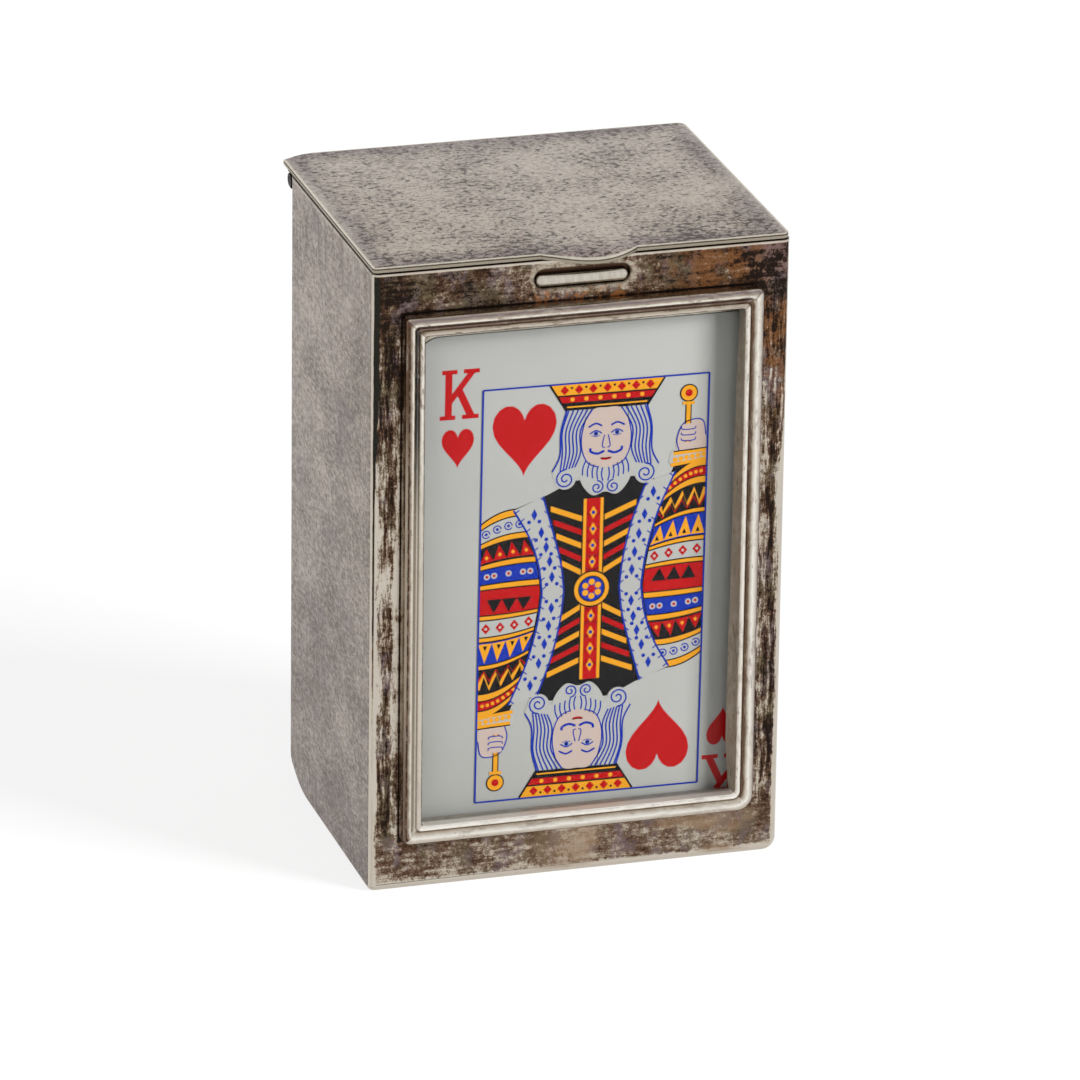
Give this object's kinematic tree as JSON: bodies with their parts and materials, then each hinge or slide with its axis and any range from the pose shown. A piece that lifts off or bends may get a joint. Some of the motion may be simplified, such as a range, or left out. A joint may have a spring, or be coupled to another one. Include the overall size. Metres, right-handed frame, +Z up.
{
  "type": "playing card box",
  "caption": "Tall sheet-silver box for playing cards, with a hinged lid, a snap catch and a framed window in the front that shows one card.",
  "frame": {"origin": "on the surface that the box stands on, under the middle of the whole outline, thumb lip and lid overhang included", "axes": "+Z up, -Y out of the glazed front, +X to the right of someone who looks at the front"},
  "size_m": [0.0672, 0.0582, 0.104],
  "materials": {
    "silver_walls": "worn silver, finely scratched",
    "silver_front": "silver with brown and black tarnish",
    "silver_moulding": "polished silver with dark grooves",
    "silver_lid": "satin silver with small dark pits",
    "silver_inside": "satin silver",
    "silver_hinge": "dark silver",
    "glass": "clear",
    "card": "smooth coated card"
  },
  "bodies": {
    "case": {"wall_wrap": "silver_walls", "front_plate": "silver_front", "base_plate": "silver_walls", "moulding_top": "silver_moulding", "moulding_bottom": "silver_moulding", "moulding_left": "silver_moulding", "moulding_right": "silver_moulding", "back_strip": "silver_hinge", "case_knuckle_left": "silver_hinge", "case_knuckle_middle": "silver_hinge", "case_knuckle_right": "silver_hinge", "hinge_pin": "silver_hinge", "window_glass": "glass", "window_channel_left": "silver_inside", "window_channel_right": "silver_inside", "window_ledge": "silver_inside", "backing_plate": "silver_inside", "display_card": "card"},
    "lid": {"lid_plate": "silver_lid", "lid_rim": "silver_inside", "catch_bead": "silver_moulding", "lid_strip": "silver_hinge", "lid_knuckle_left": "silver_hinge", "lid_knuckle_right": "silver_hinge"}
  },
  "joints": [
    {"name": "lid_hinge", "type": "hinge", "parent": "case", "child": "lid", "pos_m": [0, 0.02467, 0.10135], "axis": [-1, 0, 0], "range_deg": [0, 115]}
  ]
}
